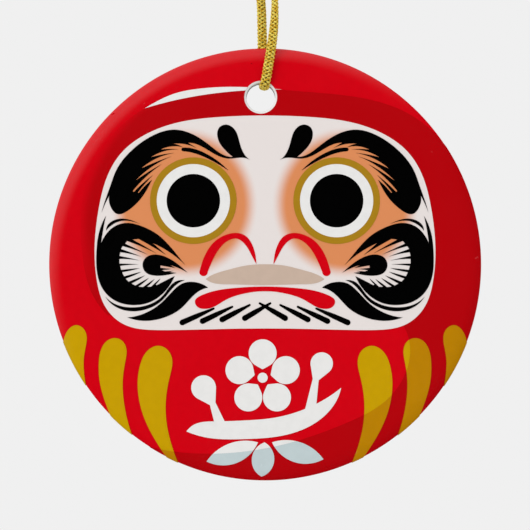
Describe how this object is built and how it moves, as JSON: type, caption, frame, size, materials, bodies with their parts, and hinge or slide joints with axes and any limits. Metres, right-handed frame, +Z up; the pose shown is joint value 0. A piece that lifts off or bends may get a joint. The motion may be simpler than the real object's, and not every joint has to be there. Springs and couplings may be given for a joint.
{
  "type": "hanging daruma ornament",
  "caption": "Flat round glazed porcelain ornament printed with a daruma doll's face, hung on a gold braided cord loop that is threaded through a hole near its top.",
  "frame": {"origin": "inside top of the cord's hang eye, where a hook's wire lies; the disc hangs below it", "axes": "+X to the right seen from the front, the printed face looks along -Y, +Z up along the hanging cord"},
  "size_m": [0.0735, 0.0066, 0.1117],
  "materials": {
    "white_porcelain": "clear gloss glaze over white porcelain",
    "print_red": "gloss printed colour",
    "print_dark_red": "gloss printed colour",
    "print_face": "gloss printed off-white with orange blush",
    "print_white": "gloss printed white",
    "print_black": "gloss printed black",
    "print_ring_gold": "gloss printed ochre",
    "print_gold": "gloss printed yellow ochre",
    "print_dark_gold": "gloss printed dark ochre",
    "print_taupe": "gloss printed taupe",
    "print_grey": "gloss printed blue grey",
    "gold_braid": "metallic gold braid"
  },
  "bodies": {
    "hanger": {"cord_eye": "gold_braid", "cord_knot": "gold_braid", "cord_tails": "gold_braid"},
    "cord_bight": {"cord_bight": "gold_braid", "cord_strands": "gold_braid"},
    "ornament": {"ink_beard_core_left": "print_black", "ink_beard_core_right": "print_black", "ink_beard_hem_left": "print_black", "ink_beard_hem_right": "print_black", "ink_beard_left": "print_black", "ink_beard_right": "print_black", "ink_beard_wisp_left": "print_black", "ink_beard_wisp_right": "print_black", "ink_brow_accent_left": "print_black", "ink_brow_accent_right": "print_black", "ink_brow_left": "print_black", "ink_brow_right": "print_black", "ink_cheek_lobe_left": "print_black", "ink_cheek_lobe_right": "print_black", "ink_chin_cross": "print_black", "ink_chin_ticks_left": "print_black", "ink_chin_ticks_right": "print_black", "ink_crest_blossom": "print_white", "ink_crest_branch": "print_white", "ink_crest_leaves": "print_white", "ink_crest_shade": "print_grey", "ink_eye_ring_left": "print_ring_gold", "ink_eye_ring_right": "print_ring_gold", "ink_eye_white_left": "print_white", "ink_eye_white_right": "print_white", "ink_face_panel": "print_face", "ink_highlight": "print_white", "ink_mouth": "print_red", "ink_nose_shade": "print_taupe", "ink_nostril_left": "print_red", "ink_nostril_right": "print_red", "ink_pupil_left": "print_black", "ink_pupil_right": "print_black", "ink_red_ground": "print_red", "ink_red_shade": "print_dark_red", "ink_stripe_inner_left": "print_gold", "ink_stripe_inner_right": "print_gold", "ink_stripe_inner_shade": "print_dark_gold", "ink_stripe_middle_left": "print_gold", "ink_stripe_middle_right": "print_gold", "ink_stripe_middle_shade": "print_dark_gold", "ink_stripe_outer_left": "print_gold", "ink_stripe_outer_right": "print_gold", "ink_stripe_outer_shade": "print_dark_gold", "porcelain_crown": "white_porcelain", "porcelain_disc": "white_porcelain"}
  },
  "joints": [
    {"name": "cord_twist", "type": "hinge", "parent": "hanger", "child": "cord_bight", "pos_m": [0, 0, -0.016], "axis": [0, 0, 1], "range_deg": [-180, 180], "stiffness_Nm_per_rad": 0.00007},
    {"name": "swing", "type": "hinge", "parent": "cord_bight", "child": "ornament", "pos_m": [0, 0, -0.03258], "axis": [0, 1, 0], "range_deg": [-60, 60]}
  ]
}
